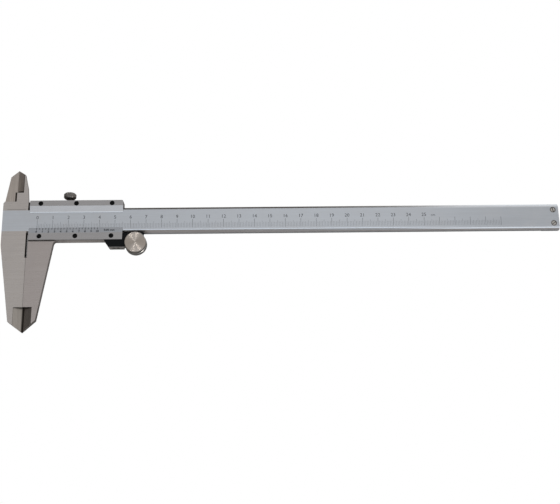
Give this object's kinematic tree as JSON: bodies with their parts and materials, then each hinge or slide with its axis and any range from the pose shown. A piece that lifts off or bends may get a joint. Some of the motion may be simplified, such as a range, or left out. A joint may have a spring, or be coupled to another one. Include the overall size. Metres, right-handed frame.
{
  "type": "vernier caliper",
  "caption": "Vernier caliper with crossed inside jaws, long knife-tipped outside jaws, screwed front plates, clamp screw, thumb roller and depth rod.",
  "frame": {"origin": "point where the closed long jaws' measuring plane crosses the beam's lower guide edge, in the plane of the flat back", "axes": "+X along the beam away from the jaws, the way the slider opens; +Y across the beam towards the inside jaws; +Z out of the scale face"},
  "size_m": [0.3605, 0.1084, 0.0086],
  "materials": {
    "ground_steel": "ground",
    "satin_plate": "satin",
    "bright_steel": "turned",
    "roller_steel": "turned",
    "dark_steel": "knurled",
    "black_oxide": "blackened",
    "bracket_black": "satin",
    "brass": "milled",
    "scale_ink": "engraved and filled"
  },
  "bodies": {
    "beam": {"main_beam": "ground_steel", "end_stop_plate": "ground_steel", "end_stop_screws": "bright_steel"},
    "slider": {"slider_frame": "ground_steel", "upper_front_plate": "satin_plate", "upper_plate_screws": "black_oxide", "vernier_plate": "satin_plate", "vernier_plate_screws": "black_oxide", "gib_strip": "brass", "gib_screws": "black_oxide", "depth_rod": "bright_steel", "depth_rod_screws": "bright_steel", "roller_bracket": "bracket_black", "bracket_screws": "black_oxide", "roller_leaf_spring": "bright_steel"},
    "thumb_roller": {"roller_wheel": "roller_steel", "roller_axle": "bright_steel", "roller_face_disc": "roller_steel"},
    "lock_pad": {"lock_pad": "brass"},
    "lock_screw": {"lock_screw": "dark_steel"}
  },
  "joints": [
    {"name": "slider_travel", "type": "slide", "parent": "beam", "child": "slider", "axis": [1, 0, 0], "range_m": [0, 0.25]},
    {"name": "roller_spin", "type": "hinge", "parent": "slider", "child": "thumb_roller", "pos_m": [0.0696, -0.00705, 0.0042], "axis": [0, 0, 1], "range_deg": [0, 2047]},
    {"name": "lock_feed", "type": "slide", "parent": "slider", "child": "lock_pad", "axis": [0, -1, 0], "range_m": [0, 0.0005]},
    {"name": "lock_turn", "type": "hinge", "parent": "lock_pad", "child": "lock_screw", "pos_m": [0.026, 0.0241, 0.00358], "axis": [0, -1, 0], "range_deg": [0, 360]}
  ],
  "couplings": [
    {"joint": "roller_spin", "follows": "slider_travel", "rad_per_m": 142.86},
    {"joint": "lock_turn", "follows": "lock_feed", "rad_per_m": 12566}
  ]
}
